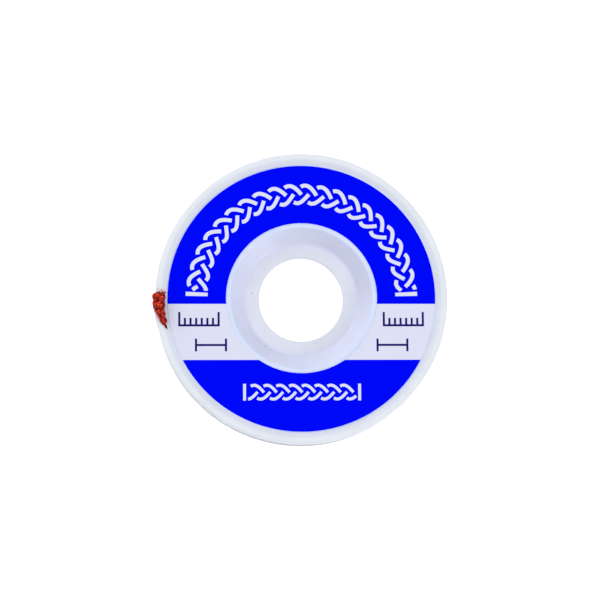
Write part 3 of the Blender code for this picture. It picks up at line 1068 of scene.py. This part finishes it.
def band_rules():
    """Plain rules in the white band: on each side a short scale, and a bar between two ticks.

    Gives both edges of each bar. A bar stands from its foot up by its height.
    """
    bars = []
    for scale_middle, bar_middle in BAND_MIDDLES:
        for tick in range(SCALE_TICKS):
            tall = TALL_TICK if tick % (SCALE_TICKS - 1) == 0 else SHORT_TICK
            place = scale_middle + (tick - (SCALE_TICKS - 1) / 2) * SCALE_STEP
            bars.append((place, SCALE_FOOT + RULE_WIDTH, RULE_WIDTH, tall))
        scale_length = (SCALE_TICKS - 1) * SCALE_STEP + RULE_WIDTH
        bars.append((scale_middle, SCALE_FOOT, scale_length, RULE_WIDTH))
        bars.append((bar_middle, BAR_FOOT + (BAR_TICK - RULE_WIDTH) / 2, BAR_LENGTH, RULE_WIDTH))
        for side in (-1, 1):
            place = bar_middle + side * (BAR_LENGTH + RULE_WIDTH) / 2
            bars.append((place, BAR_FOOT, RULE_WIDTH, BAR_TICK))
    x, y, width, tall = np.array(bars).T
    middle = np.stack([stacked(x, y), stacked(x, y + tall)], axis=1)
    side = stacked(width / 2, 0.0)[:, None]
    return middle - side, middle + side


class OBJECT_OT_ring_label(bpy.types.Operator):
    """Builds the printed ring label with its plaited borders and ruled lines"""

    bl_idname = "object.ring_label"
    bl_label = "Label"

    def execute(self, context):
        sizes = label_sizes()
        points, field = label_film_points()
        arc_wave = 2 * ARC_HALF_ANGLE * sizes.arc_radius / ARC_WAVES
        arc = plait(sizes.arc_height, arc_wave, ARC_WAVES, sizes.stroke)
        line_wave, line_stroke = LINE_LENGTH / LINE_WAVES, sizes.stroke * LINE_STROKE_SHARE
        line = plait(LINE_HALF_HEIGHT, line_wave, LINE_WAVES, line_stroke)
        white = [ink_strips(*map(on_arc, arc)), ink_strips(*map(on_line, line))]
        navy = [ink_strips(*band_rules())]
        indices = [field]
        for index, inks in ((1, white), (2, navy)):
            face_count = sum(len(part) for _, faces in inks for part in faces)
            indices.append(np.full(face_count, index))
        materials = [
            printed_material("printed_blue_film", sizes.blue, 0.9),
            printed_material("printed_white_film", sizes.white, 0.96),
            printed_material("printed_navy_ink", sizes.navy, 0.8),
        ]
        points, faces = joined([(points, [ring_faces(points)]), *white, *navy])
        indices = np.concatenate(indices)
        new_piece("printed_ring_label", points, faces, materials, "label", "label_film", indices)
        return {"FINISHED"}


# Stage

FLOOR_POINTS = 9
FLOOR_HALF_WIDTH = 2.0
# Each light's name, place, diameter, and the setting that holds its power
LIGHTS = (
    ("top_light", (0.0, 0.1, 1.0), 0.9, "top_power"),
    ("key_light", (-0.55, 0.6, 0.4), 0.9, "key_power"),
    ("fill_light", (0.6, -0.55, 0.4), 0.5, "fill_power"),
)


def placed(name, data, matrix):
    """Adds an object of this data to the scene, with this place and direction."""
    holder = bpy.data.objects.new(name, data)
    holder.matrix_world = matrix
    bpy.context.scene.collection.objects.link(holder)
    return holder


def add_area_light(name, place, size, power):
    """A soft round light that shines on the origin."""
    light = bpy.data.lights.new(name, "AREA")
    light.shape = "DISK"
    light.size = size
    light.energy = power
    direction = (Vector() - Vector(place)).to_track_quat("-Z", "Y")
    placed(name, light, Matrix.LocRotScale(place, direction, None))


def add_camera(settings):
    """A camera over the spool that shows a line along +X level.

    Its axes are the line of sight, +X made square to it, and their cross product.
    """
    camera = bpy.data.cameras.new("picture_camera")
    camera.lens = settings.lens
    camera.sensor_width = 36.0
    camera.clip_start = 0.01
    place = Vector((settings.camera_x, settings.camera_y, settings.camera_z))
    aim = Vector((settings.aim_x, settings.aim_y, LABEL_TOP.z))
    backwards = (place - aim).normalized()
    right = (Vector((1, 0, 0)) - backwards * backwards.x).normalized()
    direction = Matrix((right, backwards.cross(right), backwards)).transposed().to_4x4()
    matrix = Matrix.Translation(place) @ direction
    bpy.context.scene.camera = placed("picture_camera", camera, matrix)


class OBJECT_OT_pale_studio(bpy.types.Operator):
    """Sets up the pale floor, the soft lights and the camera"""

    bl_idname = "object.pale_studio"
    bl_label = "Studio"

    def execute(self, context):
        settings = context.scene.studio_settings
        # Matt white card: an even pale surface without gloss.
        card, shader, place = start_material(
            "matt_white_card",
            settings.floor,
            {
                "Roughness": 0.9,
                "Specular IOR Level": 0.0,
                "Emission Color": settings.floor,
                "Emission Strength": settings.floor_glow,
            },
        )
        mottled(card, shader, place, 0.985, 0.8)
        side = np.linspace(-FLOOR_HALF_WIDTH, FLOOR_HALF_WIDTH, FLOOR_POINTS)
        x, y = np.meshgrid(side, side, indexing="ij")
        faces = grid_faces(FLOOR_POINTS, FLOOR_POINTS)[:, ::-1]
        floor = new_piece("pale_floor", stacked(x, y, 0.0), [faces], [card])
        world = bpy.data.worlds.new("soft_studio")
        world.use_nodes = True
        background = world.node_tree.nodes["Background"]
        background.inputs["Color"].default_value = settings.world
        background.inputs["Strength"].default_value = settings.world_light
        context.scene.world = world
        for name, place, size, power in LIGHTS:
            add_area_light(name, place, size, getattr(settings, power))
        add_camera(settings)
        context.scene.view_settings.view_transform = "Standard"
        return {"FINISHED"}


OPERATORS = (
    OBJECT_OT_pale_studio,
    OBJECT_OT_spool_body,
    OBJECT_OT_braid_winding,
    OBJECT_OT_braid_free_end,
    OBJECT_OT_ring_label,
)
GROUPS = {
    "spool_sizes": SpoolSizes,
    "braid_sizes": BraidSizes,
    "label_sizes": LabelSizes,
    "studio_settings": StudioSettings,
}


class VIEW3D_PT_braid_spool(bpy.types.Panel):
    """Lists the pieces of the spool and their sizes"""

    bl_idname = "VIEW3D_PT_braid_spool"
    bl_label = "Braid Spool"
    bl_space_type = "VIEW_3D"
    bl_region_type = "UI"
    bl_category = "Braid Spool"

    def draw(self, context):
        for operator in OPERATORS:
            self.layout.operator(operator.bl_idname)
        for group in GROUPS:
            settings = getattr(context.scene, group)
            box = self.layout.box()
            for name in settings.__annotations__:
                box.prop(settings, name)


CLASSES = (*GROUPS.values(), *OPERATORS, VIEW3D_PT_braid_spool)


def register():
    for part in CLASSES:
        bpy.utils.register_class(part)
    for name, group_class in GROUPS.items():
        setattr(bpy.types.Scene, name, bpy.props.PointerProperty(type=group_class))


def unregister():
    for name in GROUPS:
        delattr(bpy.types.Scene, name)
    for part in reversed(CLASSES):
        bpy.utils.unregister_class(part)


def main():
    register()
    bpy.ops.object.pale_studio()
    bpy.ops.object.spool_body()
    bpy.ops.object.braid_winding()
    bpy.ops.object.braid_free_end()
    bpy.ops.object.ring_label()


if __name__ == "__main__":
    main()
